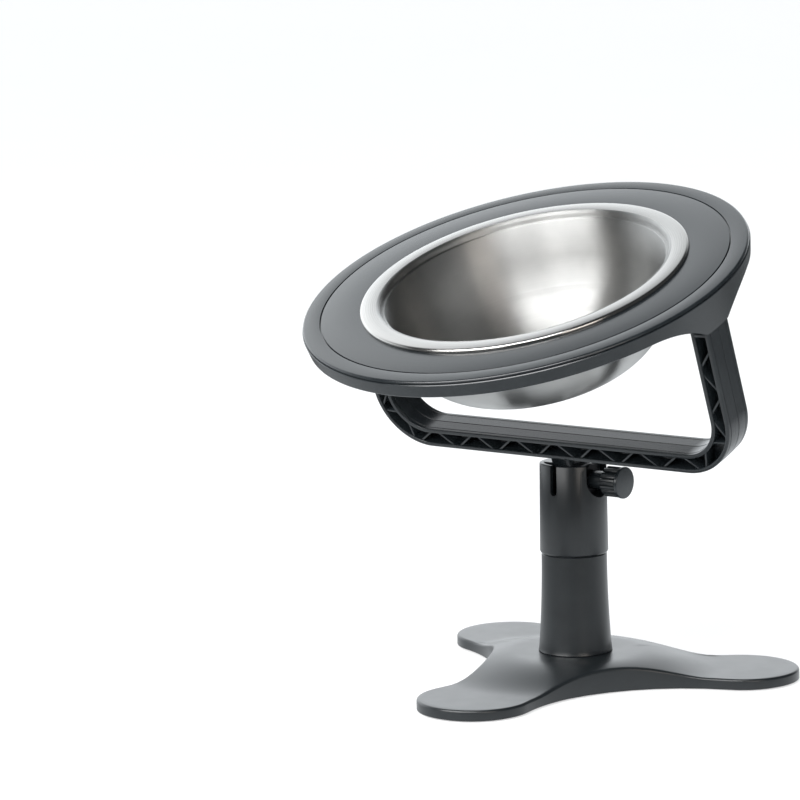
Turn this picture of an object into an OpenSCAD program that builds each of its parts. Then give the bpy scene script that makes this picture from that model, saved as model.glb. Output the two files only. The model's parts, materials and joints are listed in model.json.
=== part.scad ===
// Raised dog feeder on one column, with a tilting ring and a lift-out steel bowl.
// The tilt axis lies along X, the dog stands on the -Y side, the floor is Z = 0.

/* [Tilt] */
// Forward tilt of the bowl as modelled, in degrees
tilt = 20.2; // [0:0.1:25.5]
// Height of the tilt axis above the floor
pivot_z = 124; // [110:0.5:150]
// Distance from the tilt axis to the underside of the yoke's beam
beam_drop = 18; // [17.5:0.1:24]

/* [Base foot] */
// Distance from the column axis to the middle of a lobe
lobe_reach = 102; // [85:1:130]
// Radius of a lobe's round end
lobe_r = 34.5; // [28:0.5:42]
// Radius of the foot at its three waists
waist_r = 52; // [45:1:65]
// Height of the foot where the column stands
base_h = 16.8; // [13:0.1:22]
// Height of the foot at the lobe tips
tip_h = 7.2; // [6.5:0.1:11]
// Radius where the foot's dome starts to fall
dome_in_r = 38; // [30:1:45]
// Radius where the dome has come down to the lobes
dome_out_r = 90; // [75:1:100]
// Rounding of the foot's upper edge
base_round = 1.5; // [1:0.1:4]
// Gap between the floor and the foot's lower edge
base_gap = 1; // [0.5:0.1:2]
// Wall of the foot's shell
base_wall = 2.6; // [2:0.1:4]

/* [Grip ring] */
// Distance of the rubber strip from the foot's outline
grip_inset = 3.2; // [2.6:0.1:5]
// Width of the rubber strip
grip_w = 6; // [4:0.5:8]
// Thickness of the rubber strip
grip_t = 2.2; // [1.8:0.1:3]

/* [Column] */
// Radius of the column at the seam
column_r = 20; // [18:0.1:24]
// Radius of the arc that flares the column towards the foot
flare_r = 760; // [500:4:1500]
// Extra flare of the column's lowest edge
foot_flare = 0.8; // [0:0.1:1]
// Height of the seam between the column and the head
seam_z = 77.8; // [65:0.2:88]
// Bore of the column
column_bore_r = 16.6; // [14:0.1:17.5]
// Radius of the spigot at the column's top
spigot_r = 17; // [15:0.1:17.4]
// Length of the spigot
spigot_l = 10; // [6:0.5:12]
// Bore of the spigot
spigot_bore_r = 12; // [8:0.5:14]

/* [Clamp head] */
// Radius of the head at its lower edge
head_r_low = 20.9; // [20:0.1:25]
// Radius of the head at its top
head_r_top = 20.4; // [19.6:0.1:24.5]
// Height of the head's top above the tilt axis
head_rise = 9.7; // [9:0.1:12]
// Chamfer of the head's lower edge
head_chamfer = 1.3; // [0.5:0.1:2]
// Radius of the cavity that holds the yoke's lug
cavity_r = 17.4; // [16.6:0.1:18]
// Thickness of the head's inner floor
floor_t = 8; // [7:0.5:10]
// Width of the two slits
slit_w = 4.6; // [2:0.1:5]
// Depth of the slits from the head's top
slit_l = 18.4; // [14:0.2:24]
// Half width of the recess for the knob
recess_r = 10.5; // [9.8:0.1:11]
// Distance from the column axis to the recess floor
recess_x = 13; // [12:0.1:15]
// Radius of the cheeks round the bolt
cheek_r = 13.4; // [12:0.1:14]

/* [Hinge and clamp] */
// Half length of the yoke's lug along the tilt axis
lug_half = 8; // [6:0.1:9]
// Radius of the lug's barrel
lug_r = 10.2; // [8:0.1:11.5]
// Half width of the lug's neck
neck_half = 6.8; // [5:0.1:7.5]
// Diameter of the hinge bolt and the tie bolt
bolt_d = 6; // [5:0.5:7]
// Length of the hinge bolt beyond the column axis on the knob's side
bolt_reach = 31; // [28:0.5:33]
// Width across flats of the bolt heads and the nut
hex_af = 10; // [9:0.5:11]
// Thickness of the bolt heads
hex_t = 4; // [3:0.5:5]
// Thickness of the washers
washer_t = 1.2; // [0.8:0.1:2]
// Radius of the washers
washer_r = 9; // [8:0.5:9.5]

/* [Knob] */
// Radius of the knob's fluted grip
knob_r = 9.4; // [8.5:0.1:10.5]
// Radius of the knob's neck
knob_neck_r = 5.8; // [5.3:0.1:7.5]
// Distance from the column axis to the knob's grip
knob_x = 26; // [24:0.2:28]
// Length of the fluted grip
knob_l = 10.6; // [8:0.2:14]
// Number of flutes
knob_flutes = 14; // [8:1:18]
// Radius of a flute
flute_r = 1.6; // [0.6:0.1:1.8]
// Radius of the cap on the knob's end
cap_r = 9.7; // [9:0.1:10.8]
// Thickness of the cap
cap_t = 2; // [1.2:0.1:3]
// Radius of the brass insert
insert_r = 4.3; // [4:0.1:4.6]
// Length of the brass insert
insert_l = 12; // [8:0.5:14]

/* [Yoke] */
// Inset of the uprights from the tray's edge
yoke_inset = 3.7; // [3.5:0.1:12]
// Outer radius of the yoke's corners
yoke_corner_r = 36.5; // [28:0.5:45]
// Width of the yoke's I-section
yoke_w = 22; // [18:0.5:28]
// Depth of the yoke's I-section
yoke_t = 12.6; // [10:0.1:15]
// Thickness of the flanges at their edges
flange_t = 2.5; // [1.6:0.1:3]
// Thickness of the middle web
web_t = 2.2; // [1.4:0.1:3]
// Draft of the flanges, as rise from edge to middle
crest = 0.3; // [0:0.05:0.6]
// Thickness of the zigzag ribs
rib_t = 1.3; // [0.9:0.1:2]
// Length of half a zigzag along the beam
rib_pitch = 15.2; // [12:0.1:20]
// Clear distance between neighbouring rib feet
rib_gap = 2.8; // [2:0.1:6]
// Setback of the ribs from the flange edges
rib_back = 0.7; // [0.3:0.1:2]

/* [Ring and tray] */
// Height of the tray's upper face above the beam's underside
tray_h = 118; // [110:0.5:130]
// Outer radius of the tray plate
tray_r = 135.5; // [128:0.1:150]
// Thickness of the tray plate
tray_t = 3; // [2.4:0.1:4]
// Rounding of the tray plate's upper edge
tray_round = 1.4; // [0.6:0.1:1.4]
// Thickness of the tray plate at its edge
edge_t = 1.5; // [1.5:0.1:2]
// Radius of the tray's opening for the bowl
hole_r = 90.2; // [89.5:0.1:93]
// Depth of the collar round the opening
collar_h = 9; // [6:0.5:14]
// Wall of the collar
collar_t = 2.2; // [1.6:0.1:3]
// Inset of the fine groove from the tray's edge
groove_inset = 11; // [5:0.5:25]
// Width of the fine groove
groove_w = 0.9; // [0.5:0.1:1.6]
// Depth of the fine groove
groove_d = 0.8; // [0.4:0.1:1.2]
// Shadow gap between the tray plate's edge and the skirt
shadow_gap = 0.5; // [0.3:0.1:0.9]
// Step of the skirt's upper edge beyond the tray plate
skirt_step = 0.5; // [0:0.1:1.5]
// Depth of the skirt away from the uprights
skirt_h = 8.4; // [6:0.1:12]
// Depth of the skirt at the uprights
bracket_h = 22.6; // [18:0.2:28]
// Half width of the deep skirt at an upright
bracket_half = 11.5; // [11:0.5:24]
// Radius of the fillets between the deep and the shallow skirt
bracket_fillet_r = 70; // [40:1:80]
// Inward lean of the skirt per millimetre of depth
skirt_lean = 0.17; // [0.1:0.01:0.35]
// Wall of the skirt and of the ring
ring_t = 2.6; // [2:0.1:3.5]
// Width of the ring under the tray plate
ring_w = 24; // [20:0.5:26]
// Number of screws that hold the tray plate
tray_screw_n = 6; // [4:2:8]
// Inset of those screws from the skirt's edge
screw_inset = 18; // [17:0.5:20]
// Diameter of those screws
tray_screw_d = 3.5; // [3:0.5:4]

/* [Bowl] */
// Radius of the bowl's rim
rim_r = 100; // [96:0.5:106]
// Radial distance from the bowl's mouth to the tray's opening
mouth_gap = 2.7; // [2:0.1:5]
// Depth of the bowl under its rim
bowl_depth = 64.5; // [50:0.5:80]
// Sheet thickness of the bowl
bowl_t = 0.9; // [0.6:0.1:1.4]
// Height of the rim over the tray
rim_h = 2.1; // [1.8:0.1:4]
// Depth of the upright shoulder under the rim
shoulder_h = 4; // [2:0.5:7]
// Width of the small ledge under the shoulder
ledge_w = 1.2; // [0.6:0.1:2]
// Radius of the bowl's flat bottom
bottom_r = 40; // [20:1:45]
// Radius between the bottom and the wall
bottom_round = 44; // [30:1:54]

/* [Clearances] */
// Radial running clearance of the bolt in the lug and the insert
run_fit = 0.06; // [0.02:0.01:0.1]
// Clearance of bolts and screws in their holes
hole_fit = 0.25; // [0.15:0.05:0.5]
// Clearance of seated pieces in their sockets
seat_fit = 0.15; // [0.1:0.05:0.3]
// Clearance of the lug between the cheeks
cheek_fit = 0.1; // [0.05:0.05:0.3]

/* [Hidden] */
$fn = 96;
eps = 0.01;
charcoal = [0.20, 0.21, 0.22];
slate = [0.30, 0.31, 0.32];
steel = [0.75, 0.75, 0.74];
zinc = [0.62, 0.63, 0.65];
black = [0.15, 0.15, 0.16];
brass = [0.72, 0.58, 0.30];
rubber = [0.09, 0.09, 0.09];

// Foot: three lobe arcs joined by three hollow arcs, all tangent
lobe_angles = [30, 150, 270];
waist_arc_r = (lobe_reach * lobe_reach + waist_r * waist_r - lobe_reach * waist_r - lobe_r * lobe_r)
    / (2 * lobe_r - 2 * waist_r + lobe_reach);
waist_reach = waist_r + waist_arc_r;
lobe_turn = atan2(waist_reach * sin(60), waist_reach * cos(60) - lobe_reach);
waist_turn = atan2(lobe_reach * sin(60), waist_reach - lobe_reach * cos(60));
lobe_steps = 18;
waist_steps = 10;
round_steps = 4;
dome_steps = 8;
fan_x = 1.3;
fan_y = 0.7;
column_foot_r = column_r + (seam_z - base_h) * (seam_z - base_h) / (2 * flare_r);
flare_h = 6;
seat_r = column_foot_r + 1.2;
foot_boss_r = 12;
base_spigot_h = 8;
base_floor = 7.4;
grip_band = grip_inset + grip_w + base_wall;

// Column and head heights
head_top = pivot_z + head_rise;
head_floor = seam_z + spigot_l + 0.6;
nut_t = 5;
hex_r = hex_af / 2 / cos(30);
hex_fit_r = (hex_af / 2 + seat_fit) / cos(30);
cheek_x = lug_half + cheek_fit;
bolt_seat_x = -recess_x + 1;
bolt_r = bolt_d / 2;

// Knob stations along the tilt axis
washer_x = recess_x;
neck_x = washer_x + washer_t;
insert_x = neck_x + 1.5;
cap_x = knob_x + knob_l;
cap_stem_r = 4;
cap_stem_l = 2;
screw_travel = 3;
bore_end_x = bolt_reach + 2;

// Radii that follow the tray plate
skirt_r = tray_r + skirt_step;
yoke_half = tray_r - yoke_inset;
ring_in_r = skirt_r - ring_w;
tray_screw_r = skirt_r - screw_inset;
groove_r = tray_r - groove_inset;
mouth_r = hole_r - mouth_gap;

// Ring stations, measured from the beam's underside
tray_under = tray_h - tray_t;
skirt_top = tray_h - edge_t - shadow_gap;
land_r = skirt_r - 4;
rebate_r = land_r - 0.3;
screw_boss_r = 5;
screw_boss_h = 1.6;
boss_gap = 0.4;
screw_head_r = 3.6;
screw_head_t = 2.4;
ring_under = tray_under - ring_t - screw_boss_h;
upright_top = tray_under - ring_t;
inner_corner_r = yoke_corner_r - yoke_t;
leg_rib_z = yoke_corner_r - 4.9;
corner_ribs = [[-23, -34], [-67, -52], [-74.5, -95]];
pocket_end_t = 2;
heel_half = 4;
heel_reach = sqrt(cavity_r * cavity_r - heel_half * heel_half) - 0.2;
heel_low = 12;

// Bowl stations, measured from the beam's underside
rim_top = tray_h + rim_h;
bowl_low = rim_top - bowl_depth;
wall_r = mouth_r - ledge_w;
wall_top = rim_top - shoulder_h;
wall_end = wall_top - bowl_t / 2;
bowl_c = [bottom_r, bowl_low + bottom_round];
wall_dx = wall_r - bowl_c[0];
wall_dz = wall_end - bowl_c[1];
wall_turn = atan2(wall_dz, wall_dx) - acos(bottom_round / norm([wall_dx, wall_dz]));
lip_cut = 0.6;
area_lap = 5;

// Points of the foot's outline at an inset, counter-clockwise from the first lobe
function lobe_arc(a, s) = [for (i = [0 : lobe_steps])
    let (t = a - lobe_turn + 2 * lobe_turn * i / lobe_steps)
    lobe_reach * [cos(a), sin(a)] + (lobe_r - s) * [cos(t), sin(t)]];
function waist_arc(a, s) = [for (i = [1 : waist_steps - 1])
    let (t = a + 180 + waist_turn - 2 * waist_turn * i / waist_steps)
    waist_reach * [cos(a), sin(a)] + (waist_arc_r + s) * [cos(t), sin(t)]];
function foot_outline(s) = [for (a = lobe_angles) each concat(lobe_arc(a, s), waist_arc(a + 60, s))];
function dome_fall(r) = let (u = min(max((r - dome_in_r) / (dome_out_r - dome_in_r), 0), 1)) u * u * (3 - 2 * u);
function foot_top(p) = base_h - (base_h - tip_h) * dome_fall(norm(p));
function foot_edge_ring(s, drop) = [for (p = foot_outline(s)) [p[0], p[1], foot_top(p) - drop]];
function foot_level_ring(s, z) = [for (p = foot_outline(s)) [p[0], p[1], z]];
function foot_dome_ring(t) = [for (p = foot_outline(base_round))
    let (r = norm(p), q = p / r * (r + (seat_r - r) * t)) [q[0], q[1], foot_top(q)]];

// Closed skin over a stack of rings with the same number of points. The caps fan out from a point off the
// axis, so that no edge of a fan runs through a corner of a pocket
module ring_stack(rings) {
    n = len(rings[0]);
    m = len(rings);
    points = concat([for (r = rings) each r], [[fan_x, fan_y, rings[0][0][2]], [fan_x, fan_y, rings[m - 1][0][2]]]);
    sides = [for (k = [0 : m - 2], i = [0 : n - 1], h = [0, 1])
        let (a = k * n + i, b = k * n + (i + 1) % n)
        h == 0 ? [a, a + n, b] : [b, a + n, b + n]];
    low_cap = [for (i = [0 : n - 1]) [m * n, i, (i + 1) % n]];
    high_cap = [for (i = [0 : n - 1]) [m * n + 1, (m - 1) * n + (i + 1) % n, (m - 1) * n + i]];
    polyhedron(points, concat(sides, low_cap, high_cap), convexity = 8);
}

// Everything that tilts, with its own origin under the middle of the beam
module tilted() {
    translate([0, 0, pivot_z]) rotate([tilt, 0, 0]) translate([0, 0, beam_drop]) children();
}

// Cylinder along +X at the tilt axis
module along_x(x, l, r) {
    translate([x, 0, pivot_z]) rotate([0, 90, 0]) cylinder(h = l, r = r);
}

// Hexagon along +X at the tilt axis
module hex_along_x(x, l, r) {
    translate([x, 0, pivot_z]) rotate([0, 90, 0]) cylinder(h = l, r = r, $fn = 6);
}

// Foot with rounded upper edge, hollow underneath
module foot_skin() {
    lower = [foot_level_ring(0.5, base_gap), foot_level_ring(0, base_gap + 0.5)];
    edge = [for (k = [0 : round_steps])
        let (q = 90 * k / round_steps)
        foot_edge_ring(base_round * (1 - cos(q)), base_round * (1 - sin(q)))];
    dome = [for (k = [1 : dome_steps]) foot_dome_ring(k / dome_steps)];
    ring_stack(concat(lower, edge, dome));
}

// Flat area of the foot inside its wall
module foot_inside(s) {
    polygon(foot_outline(s));
}

// Three webs from the boss to the lobes
module foot_webs() {
    for (a = lobe_angles)
        rotate(a) translate([0, -base_wall / 2, base_gap])
            cube([lobe_reach + lobe_r - grip_band + eps, base_wall, base_h]);
}

module base_foot() {
    pocket_top = tip_h - base_wall;
    color(charcoal) difference() {
        union() {
            difference() {
                foot_skin();
                difference() {
                    translate([0, 0, -eps]) linear_extrude(pocket_top + eps) foot_inside(grip_band);
                    cylinder(h = base_h, r = foot_boss_r);
                    foot_webs();
                }
                translate([0, 0, -eps]) difference() {
                    cylinder(h = base_h - base_floor + eps, r = waist_r - grip_band - 1);
                    cylinder(h = base_h, r = foot_boss_r);
                    foot_webs();
                }
            }
            translate([0, 0, base_h - eps])
                cylinder(h = base_spigot_h + eps, r = column_bore_r - seat_fit);
        }
        translate([0, 0, base_h + base_spigot_h - 6]) cylinder(h = 7, r = column_bore_r - 4);
        cylinder(h = base_h + base_spigot_h + 1, r = bolt_r + hole_fit);
        translate([0, 0, -eps]) cylinder(h = base_h - base_floor + eps, r = washer_r + 1);
        translate([0, 0, -eps]) linear_extrude(grip_t + eps) difference() {
            foot_inside(grip_inset - seat_fit);
            foot_inside(grip_inset + grip_w + seat_fit);
        }
    }
}

// Rubber strip that follows the outline under the foot
module grip_ring() {
    color(rubber) linear_extrude(grip_t) difference() {
        foot_inside(grip_inset);
        foot_inside(grip_inset + grip_w);
    }
}

// Lower column section with its spigot
module column_tube() {
    color(charcoal) difference() {
        union() {
            rotate_extrude() difference() {
                translate([0, base_h]) square([seat_r, seam_z - base_h]);
                translate([column_r + flare_r, seam_z]) circle(r = flare_r, $fn = 720);
            }
            rotate_extrude() polygon([[column_bore_r, base_h], [column_foot_r + foot_flare, base_h],
                [column_foot_r + foot_flare, base_h + 0.5], [column_foot_r + foot_flare * 0.3, base_h + flare_h / 3],
                [column_bore_r + 1, base_h + flare_h]]);
            translate([0, 0, seam_z - eps]) cylinder(h = spigot_l - 1 + eps, r = spigot_r);
            translate([0, 0, seam_z + spigot_l - 1]) cylinder(h = 1, r1 = spigot_r, r2 = spigot_r - 1);
        }
        translate([0, 0, base_h - eps]) cylinder(h = seam_z - base_h - 5, r = column_bore_r);
        cylinder(h = seam_z + spigot_l + 1, r = spigot_bore_r);
    }
}

// Upper column section, split into two cheeks
module clamp_head() {
    color(charcoal) difference() {
        union() {
            difference() {
                head_outside();
                translate([0, 0, head_floor + floor_t]) cylinder(h = head_top, r = cavity_r);
            }
            intersection() {
                head_outside();
                union() {
                    along_x(cheek_x, head_r_low, cheek_r);
                    along_x(-cheek_x - head_r_low, head_r_low, cheek_r);
                }
            }
        }
        translate([0, 0, seam_z - eps]) cylinder(h = head_floor - seam_z + eps, r = spigot_r + seat_fit);
        cylinder(h = head_top, r = bolt_r + hole_fit);
        translate([0, 0, head_floor + floor_t - nut_t]) cylinder(h = head_top, r = hex_fit_r, $fn = 6);
        translate([0, head_r_low, head_top - slit_l + slit_w / 2]) rotate([90, 0, 0])
            linear_extrude(2 * head_r_low) {
                circle(d = slit_w);
                translate([-slit_w / 2, 0]) square([slit_w, slit_l]);
            }
        along_x(-head_r_low - 1, 2 * head_r_low + 2, bolt_r + hole_fit);
        along_x(recess_x, head_r_low, recess_r);
        translate([recess_x, -recess_r, pivot_z]) cube([head_r_low, 2 * recess_r, head_rise + 1]);
        hex_along_x(bolt_seat_x - head_r_low, head_r_low, hex_fit_r);
    }
}

// Turned outside of the head
module head_outside() {
    rotate_extrude() polygon([[0, seam_z], [head_r_low - head_chamfer, seam_z],
        [head_r_low, seam_z + head_chamfer], [head_r_top, head_top - 0.6], [head_r_top - 0.6, head_top],
        [0, head_top]]);
}

// Bolt from below that holds foot, column and head together
module tie_bolt() {
    seat = base_h - base_floor - washer_t;
    color(zinc) {
        translate([0, 0, seat - hex_t]) cylinder(h = hex_t, r = hex_r, $fn = 6);
        translate([0, 0, seat - eps]) cylinder(h = head_floor + floor_t + 1 - seat, r = bolt_r);
    }
}

module tie_washer() {
    color(zinc) translate([0, 0, base_h - base_floor - washer_t]) difference() {
        cylinder(h = washer_t, r = washer_r);
        translate([0, 0, -eps]) cylinder(h = washer_t + 1, r = bolt_r + hole_fit);
    }
}

module tie_nut() {
    color(zinc) translate([0, 0, head_floor + floor_t - nut_t]) difference() {
        cylinder(h = nut_t, r = hex_r, $fn = 6);
        translate([0, 0, -eps]) cylinder(h = nut_t + 1, r = bolt_r + run_fit);
    }
}

// Bolt along the tilt axis, head on the -X side
module hinge_bolt() {
    color(black) {
        hex_along_x(bolt_seat_x - hex_t, hex_t, hex_r);
        along_x(bolt_seat_x - eps, bolt_reach - bolt_seat_x, bolt_r);
    }
}

module clamp_washer() {
    color(black) difference() {
        along_x(washer_x, washer_t, washer_r);
        along_x(washer_x - 1, washer_t + 2, bolt_r + hole_fit);
    }
}

// Knob with a smooth neck and a fluted grip
module knob_grip() {
    color(charcoal) difference() {
        union() {
            along_x(neck_x, knob_x - neck_x + eps, knob_neck_r);
            translate([knob_x, 0, pivot_z]) rotate([0, 90, 0]) rotate_extrude()
                polygon([[0, 0], [knob_r - 0.8, 0], [knob_r, 0.8], [knob_r, knob_l], [0, knob_l]]);
        }
        for (i = [0 : knob_flutes - 1])
            translate([knob_x - 1, 0, pivot_z]) rotate([360 * (i + 0.5) / knob_flutes, 0, 0])
                translate([0, 0, knob_r + flute_r * 0.25]) rotate([0, 90, 0])
                    cylinder(h = knob_l + 2, r = flute_r, $fn = 24);
        along_x(insert_x, insert_l, insert_r + run_fit);
        along_x(neck_x - 1, bore_end_x - neck_x + 1, bolt_r + hole_fit);
        along_x(cap_x - cap_stem_l, cap_stem_l + 1, cap_stem_r + seat_fit);
    }
}

module knob_insert() {
    color(brass) difference() {
        along_x(insert_x, insert_l, insert_r);
        along_x(insert_x - 1, insert_l + 2, bolt_r + run_fit);
    }
}

// Plain disc on the knob's end
module knob_cap() {
    color(slate) {
        translate([cap_x, 0, pivot_z]) rotate([0, 90, 0]) rotate_extrude()
            polygon([[0, 0], [cap_r - 0.3, 0], [cap_r, 0.3], [cap_r, cap_t - 0.6], [cap_r - 0.6, cap_t], [0, cap_t]]);
        along_x(cap_x - cap_stem_l + seat_fit, cap_stem_l, cap_stem_r);
    }
}

// Half of the I-section: depth from the outer face, width from the middle web
module i_section() {
    h = yoke_w / 2;
    w = web_t / 2;
    for (s = [0, 1]) mirror([0, s]) polygon([[0, 0], [crest, h], [crest + flange_t, h],
        [crest + flange_t + crest, w], [yoke_t - 2 * crest - flange_t, w], [yoke_t - crest - flange_t, h],
        [yoke_t - crest, h], [yoke_t, 0]]);
}

// The I-section swept along the U: beam, two round corners, two uprights
module yoke_sweep() {
    run = 2 * (yoke_half - yoke_corner_r);
    translate([-run / 2, 0, 0]) rotate([90, 0, 90]) linear_extrude(run) rotate(90) mirror([0, 1]) i_section();
    for (s = [0, 1]) mirror([s, 0, 0]) {
        translate([run / 2, 0, yoke_corner_r]) rotate([90, 0, 0]) rotate(-90)
            rotate_extrude(angle = 90) translate([yoke_corner_r, 0]) mirror([1, 0]) i_section();
        translate([yoke_half, 0, yoke_corner_r]) linear_extrude(upright_top - yoke_corner_r)
            mirror([1, 0]) i_section();
    }
}

// One flat rib between two points of the yoke's plane
module rib(a, b) {
    d = b - a;
    translate([a[0], yoke_w / 2 - rib_back, a[1]]) rotate([0, -atan2(d[1], d[0]), 0])
        translate([0, -yoke_w + 2 * rib_back, -rib_t / 2]) cube([norm(d), yoke_w - 2 * rib_back, rib_t]);
}

// Zigzag ribs in the beam, the corners and the uprights
module yoke_ribs() {
    low = flange_t * 0.6;
    high = yoke_t - low;
    half = (rib_pitch - rib_gap) / 2;
    count = floor((yoke_half - yoke_corner_r) / rib_pitch);
    out_u = yoke_half - low;
    in_u = yoke_half - high;
    for (k = [-count : count - 1]) {
        up = (k + 1) % 2 == 0 ? 1 : -1;
        c = (k + 0.5) * rib_pitch;
        rib([c - half * up, low], [c + half * up, high]);
    }
    legs = floor((upright_top - yoke_corner_r) / rib_pitch);
    for (s = [0, 1]) mirror([s, 0, 0]) {
        for (k = [0 : legs - 1]) {
            c = leg_rib_z + k * rib_pitch;
            rib([k % 2 == 0 ? out_u : in_u, c - half], [k % 2 == 0 ? in_u : out_u, c + half]);
        }
        for (t = corner_ribs)
            rib((yoke_corner_r - low) * [cos(t[0]), sin(t[0])] + corner_c(),
                (yoke_corner_r - high) * [cos(t[1]), sin(t[1])] + corner_c());
        translate([in_u, -yoke_w / 2 + 0.2, skirt_top - bracket_h + 0.2 - pocket_end_t])
            cube([out_u - in_u, yoke_w - 0.4, pocket_end_t]);
    }
}
function corner_c() = [yoke_half - yoke_corner_r, yoke_corner_r];

// Lug under the beam: barrel on the tilt axis, neck, and a heel that stops the yoke when level
module yoke_lug() {
    translate([-lug_half, 0, -beam_drop]) rotate([0, 90, 0]) cylinder(h = 2 * lug_half, r = lug_r);
    translate([-lug_half, -neck_half, -beam_drop]) cube([2 * lug_half, 2 * neck_half, beam_drop + flange_t]);
    translate([-heel_half, 0, -heel_low]) cube([2 * heel_half, heel_reach, heel_low - 6.5]);
    translate([-heel_half, 0, -heel_low]) cube([2 * heel_half, neck_half + 3, heel_low + flange_t]);
}

// Profile of the ring: a flat land under the tray plate and a leaning skirt
module ring_profile(depth) {
    low = skirt_top - depth;
    low_r = skirt_r - skirt_lean * depth;
    polygon([[skirt_r, skirt_top], [land_r, skirt_top], [land_r, tray_under - ring_t],
        [skirt_r - ring_t - 1, tray_under - ring_t], [low_r - ring_t, low], [low_r, low]]);
}

// Outline of the deep skirt seen from the side, at both uprights
module bracket_outline() {
    low = skirt_top - bracket_h;
    shallow = skirt_top - skirt_h;
    fillet_z = shallow - bracket_fillet_r;
    side = sqrt(bracket_fillet_r * bracket_fillet_r - (low - fillet_z) * (low - fillet_z));
    half = bracket_half + side;
    difference() {
        translate([-half, low]) square([2 * half, skirt_top - low]);
        for (s = [-1, 1]) translate([s * half, fillet_z]) circle(r = bracket_fillet_r, $fn = 180);
    }
}

// U-shaped I-beam with lug, ring and skirt in one moulding
module yoke_frame() {
    color(charcoal) tilted() difference() {
        union() {
            yoke_sweep();
            yoke_ribs();
            yoke_lug();
            rotate_extrude($fn = 180) {
                ring_profile(skirt_h);
                translate([ring_in_r, tray_under - ring_t]) square([land_r - ring_in_r + eps, ring_t]);
            }
            for (a = [0, 180]) intersection() {
                rotate_extrude($fn = 180) ring_profile(bracket_h);
                rotate(a) translate([0, 0, 0]) rotate([90, 0, 90]) linear_extrude(skirt_r + 1) bracket_outline();
            }
            for (i = [0 : tray_screw_n - 1]) rotate(360 * (i + 0.5) / tray_screw_n)
                translate([tray_screw_r, 0, ring_under]) cylinder(h = tray_under - ring_under, r = screw_boss_r + 0.6);
        }
        translate([-yoke_half, 0, -beam_drop]) rotate([0, 90, 0]) cylinder(h = 2 * yoke_half, r = bolt_r + run_fit);
        for (i = [0 : tray_screw_n - 1]) rotate(360 * (i + 0.5) / tray_screw_n)
            translate([tray_screw_r, 0, 0]) {
                translate([0, 0, tray_under - screw_boss_h]) cylinder(h = ring_t, r = screw_boss_r + seat_fit);
                translate([0, 0, ring_under - 1]) cylinder(h = ring_t + 4, d = tray_screw_d + 2 * hole_fit);
            }
    }
}

// Ring-shaped plate with a fine groove, a round edge and a collar for the bowl
module tray_plate() {
    rib_end = tray_screw_r - screw_boss_r - ring_t - boss_gap;
    color(slate) tilted() difference() {
        union() {
            rotate_extrude($fn = 180) difference() {
                union() {
                    translate([hole_r, tray_under]) square([rebate_r - hole_r, tray_t]);
                    translate([hole_r, tray_h - edge_t]) square([tray_r - tray_round - hole_r, edge_t]);
                    translate([hole_r, tray_h - edge_t]) square([tray_r - hole_r, edge_t - tray_round]);
                    intersection() {
                        translate([tray_r - tray_round, tray_h - tray_round]) circle(r = tray_round, $fn = 48);
                        translate([hole_r, tray_h - edge_t]) square([tray_r, edge_t]);
                    }
                    translate([hole_r, tray_h - collar_h]) square([collar_t, collar_h]);
                }
                translate([groove_r - groove_w / 2, tray_h - groove_d]) square([groove_w, groove_d + 1]);
            }
            for (i = [0 : tray_screw_n - 1]) rotate(360 * (i + 0.5) / tray_screw_n)
                translate([tray_screw_r, 0, tray_under - screw_boss_h + seat_fit])
                    cylinder(h = screw_boss_h + eps, r = screw_boss_r);
            for (i = [0 : 2 * tray_screw_n - 1]) rotate(360 * i / (2 * tray_screw_n))
                translate([hole_r + collar_t / 2, -1, tray_h - collar_h + 2])
                    cube([rib_end - hole_r - collar_t / 2, 2, collar_h - 4]);
        }
        for (i = [0 : tray_screw_n - 1]) rotate(360 * (i + 0.5) / tray_screw_n)
            translate([tray_screw_r, 0, tray_under - screw_boss_h - 1])
                cylinder(h = screw_boss_h + 1 + tray_t - 1, d = tray_screw_d + 2 * run_fit);
    }
}

// Screws from below through the ring into the plate
module tray_screws() {
    color(zinc) tilted() for (i = [0 : tray_screw_n - 1]) rotate(360 * (i + 0.5) / tray_screw_n)
        translate([tray_screw_r, 0, ring_under]) {
            difference() {
                translate([0, 0, -screw_head_t]) cylinder(h = screw_head_t, r1 = screw_head_r - 0.8, r2 = screw_head_r);
                translate([0, 0, -screw_head_t - eps]) cylinder(h = 1.2, r = 1.6, $fn = 6);
            }
            translate([0, 0, -eps]) cylinder(h = tray_under + tray_t - 1.4 - ring_under, d = tray_screw_d);
        }
}

// Area inside the bowl's sheet, offset inwards by s from the outer face
module bowl_area(s) {
    out = [cos(wall_turn), sin(wall_turn)];
    tangent = bowl_c + (bottom_round - s) * out;
    top = [wall_r, wall_end] - s * out;
    polygon([[0, bowl_low + s], [bottom_r, bowl_low + s], bowl_c, tangent, top, [0, wall_end]]);
    past = [cos(wall_turn + 3), sin(wall_turn + 3)];
    intersection() {
        translate(bowl_c) circle(r = bottom_round - s, $fn = 180);
        polygon([bowl_c + [-area_lap, area_lap], [bottom_r - area_lap, bowl_low - bowl_t], [2 * rim_r, bowl_low - bowl_t],
            bowl_c + 3 * bottom_round * past]);
    }
}

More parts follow.
